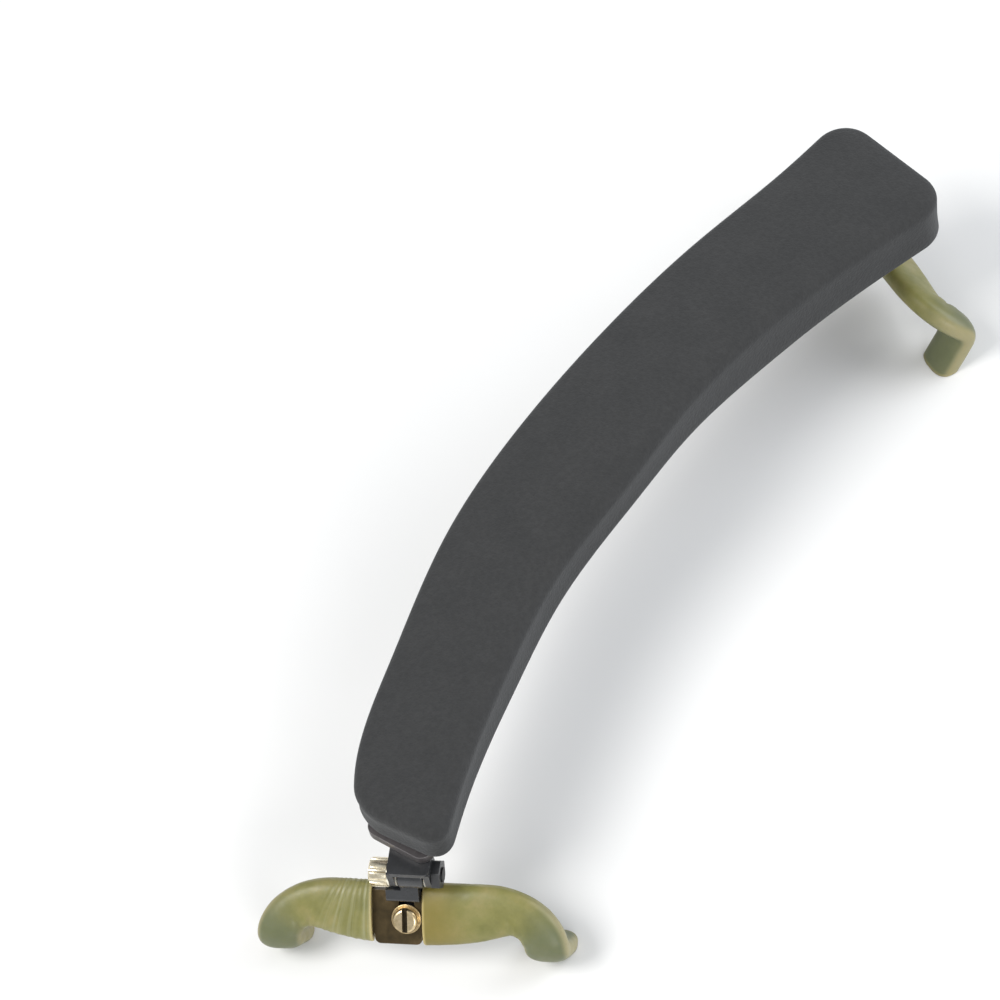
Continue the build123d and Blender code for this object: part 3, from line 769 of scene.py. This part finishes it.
for word, side in (("chest", -1), ("shoulder", 1)):
    for part, sign, start, grown, seed in (("neck", 1, 7.8, True, 2.3 + side), ("tail", -1, 2.8, False, 8.9 + side)):
        piece = make_sleeve(f"{word}_rubber_sleeve_{part}", side, sign, start, grown, seed)
        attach(piece, f"{word}_fork")
        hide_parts(f"{word}_sleeve_{part}_side")

# ------------------------------------------------------------------ carried-over CAD nodes
dress("base_bar", "bar", 0.35, 3)
dress("pad_adhesive", "adhesive")
dress("width_screws", "brass", 0.12)
dress("width_washers", "brass", 0.10)
for word in ("chest", "shoulder"):
    dress(word + "_bracket", "black_steel", 0.40, 3)
    dress(word + "_hinge_screw", "screw_" + word, 0.14)
    dress(word + "_hinge_washer", "pale_brass", 0.10)
    dress(word + "_hinge_nut", "black_steel", 0.15)
    dress(word + "_friction_washers", "nylon", 0.05)
    dress(word + "_hinge_leg", "black_cast", 0.45, 4)
    dress(word + "_fork_screw", "fork_screw_" + word, 0.10)
    dress(word + "_fork_washer", "brass", 0.10)
    dress(word + "_fork_plate", "plate", 0.18)

# ------------------------------------------------------------------ floor, light, camera
bm = bmesh.new()
half = 1.6
grid = 24
ys = np.linspace(-half, half, grid)
vv = [[bm.verts.new((x, y, 0.0)) for x in ys] for y in ys]
for a in range(grid - 1):
    for b in range(grid - 1):
        bm.faces.new((vv[a][b], vv[a][b + 1], vv[a + 1][b + 1], vv[a + 1][b]))
floor_mesh = bpy.data.meshes.new("floor")
bm.to_mesh(floor_mesh)
bm.free()
floor = bpy.data.objects.new("floor", floor_mesh)
floor.location.z = -0.00002
bpy.context.scene.collection.objects.link(floor)
floor_mesh.materials.append(MAT["floor"])

world = bpy.data.worlds.new("studio")
world.use_nodes = True
bg = world.node_tree.nodes["Background"]
bg.inputs["Color"].default_value = (0.93, 0.96, 1.0, 1.0)
bg.inputs["Strength"].default_value = 0.55
bpy.context.scene.world = world


def area(name, loc, target, size, power, color=(1, 1, 1)):
    light = bpy.data.lights.new(name, "AREA")
    light.shape = "RECTANGLE"
    light.size, light.size_y = size
    light.energy = power
    light.color = color
    o = bpy.data.objects.new(name, light)
    o.location = loc
    o.rotation_mode = "QUATERNION"
    o.rotation_quaternion = (Vector(target) - Vector(loc)).to_track_quat("-Z", "Y")
    bpy.context.scene.collection.objects.link(o)
    return o


area("key", (-0.55, 0.35, 0.85), (0, 0, 0.02), (0.55, 0.45), 8.4, (1.0, 0.985, 0.96))
area("fill", (0.60, -0.45, 0.50), (0.06, 0, 0.02), (0.6, 0.6), 5.2, (0.95, 0.97, 1.0))
area("front", (-0.50, -0.60, 0.35), (-0.05, 0, 0.02), (0.4, 0.25), 2.2, (1.0, 0.99, 0.97))

cam = bpy.data.cameras.new("camera")
cam.sensor_fit = "HORIZONTAL"
cam.sensor_width = 36.0
cam.lens = 120.09
cam.clip_start, cam.clip_end = 0.02, 20.0
camera = bpy.data.objects.new("camera", cam)
right = Vector((0.5532337, -0.8199177, -0.1471989))
down = Vector((-0.7280902, -0.3900788, -0.5636694))
ahead = Vector((0.4047433, 0.4190150, -0.8127788))
rot = Matrix((right, -down, -ahead)).transposed()
camera.matrix_world = Matrix.Translation(Vector((-0.299618 + OX * MM, -0.266354 + OY * MM, 0.609230))) @ rot.to_4x4()
bpy.context.scene.collection.objects.link(camera)
bpy.context.scene.camera = camera
bpy.context.scene.view_settings.view_transform = "Standard"
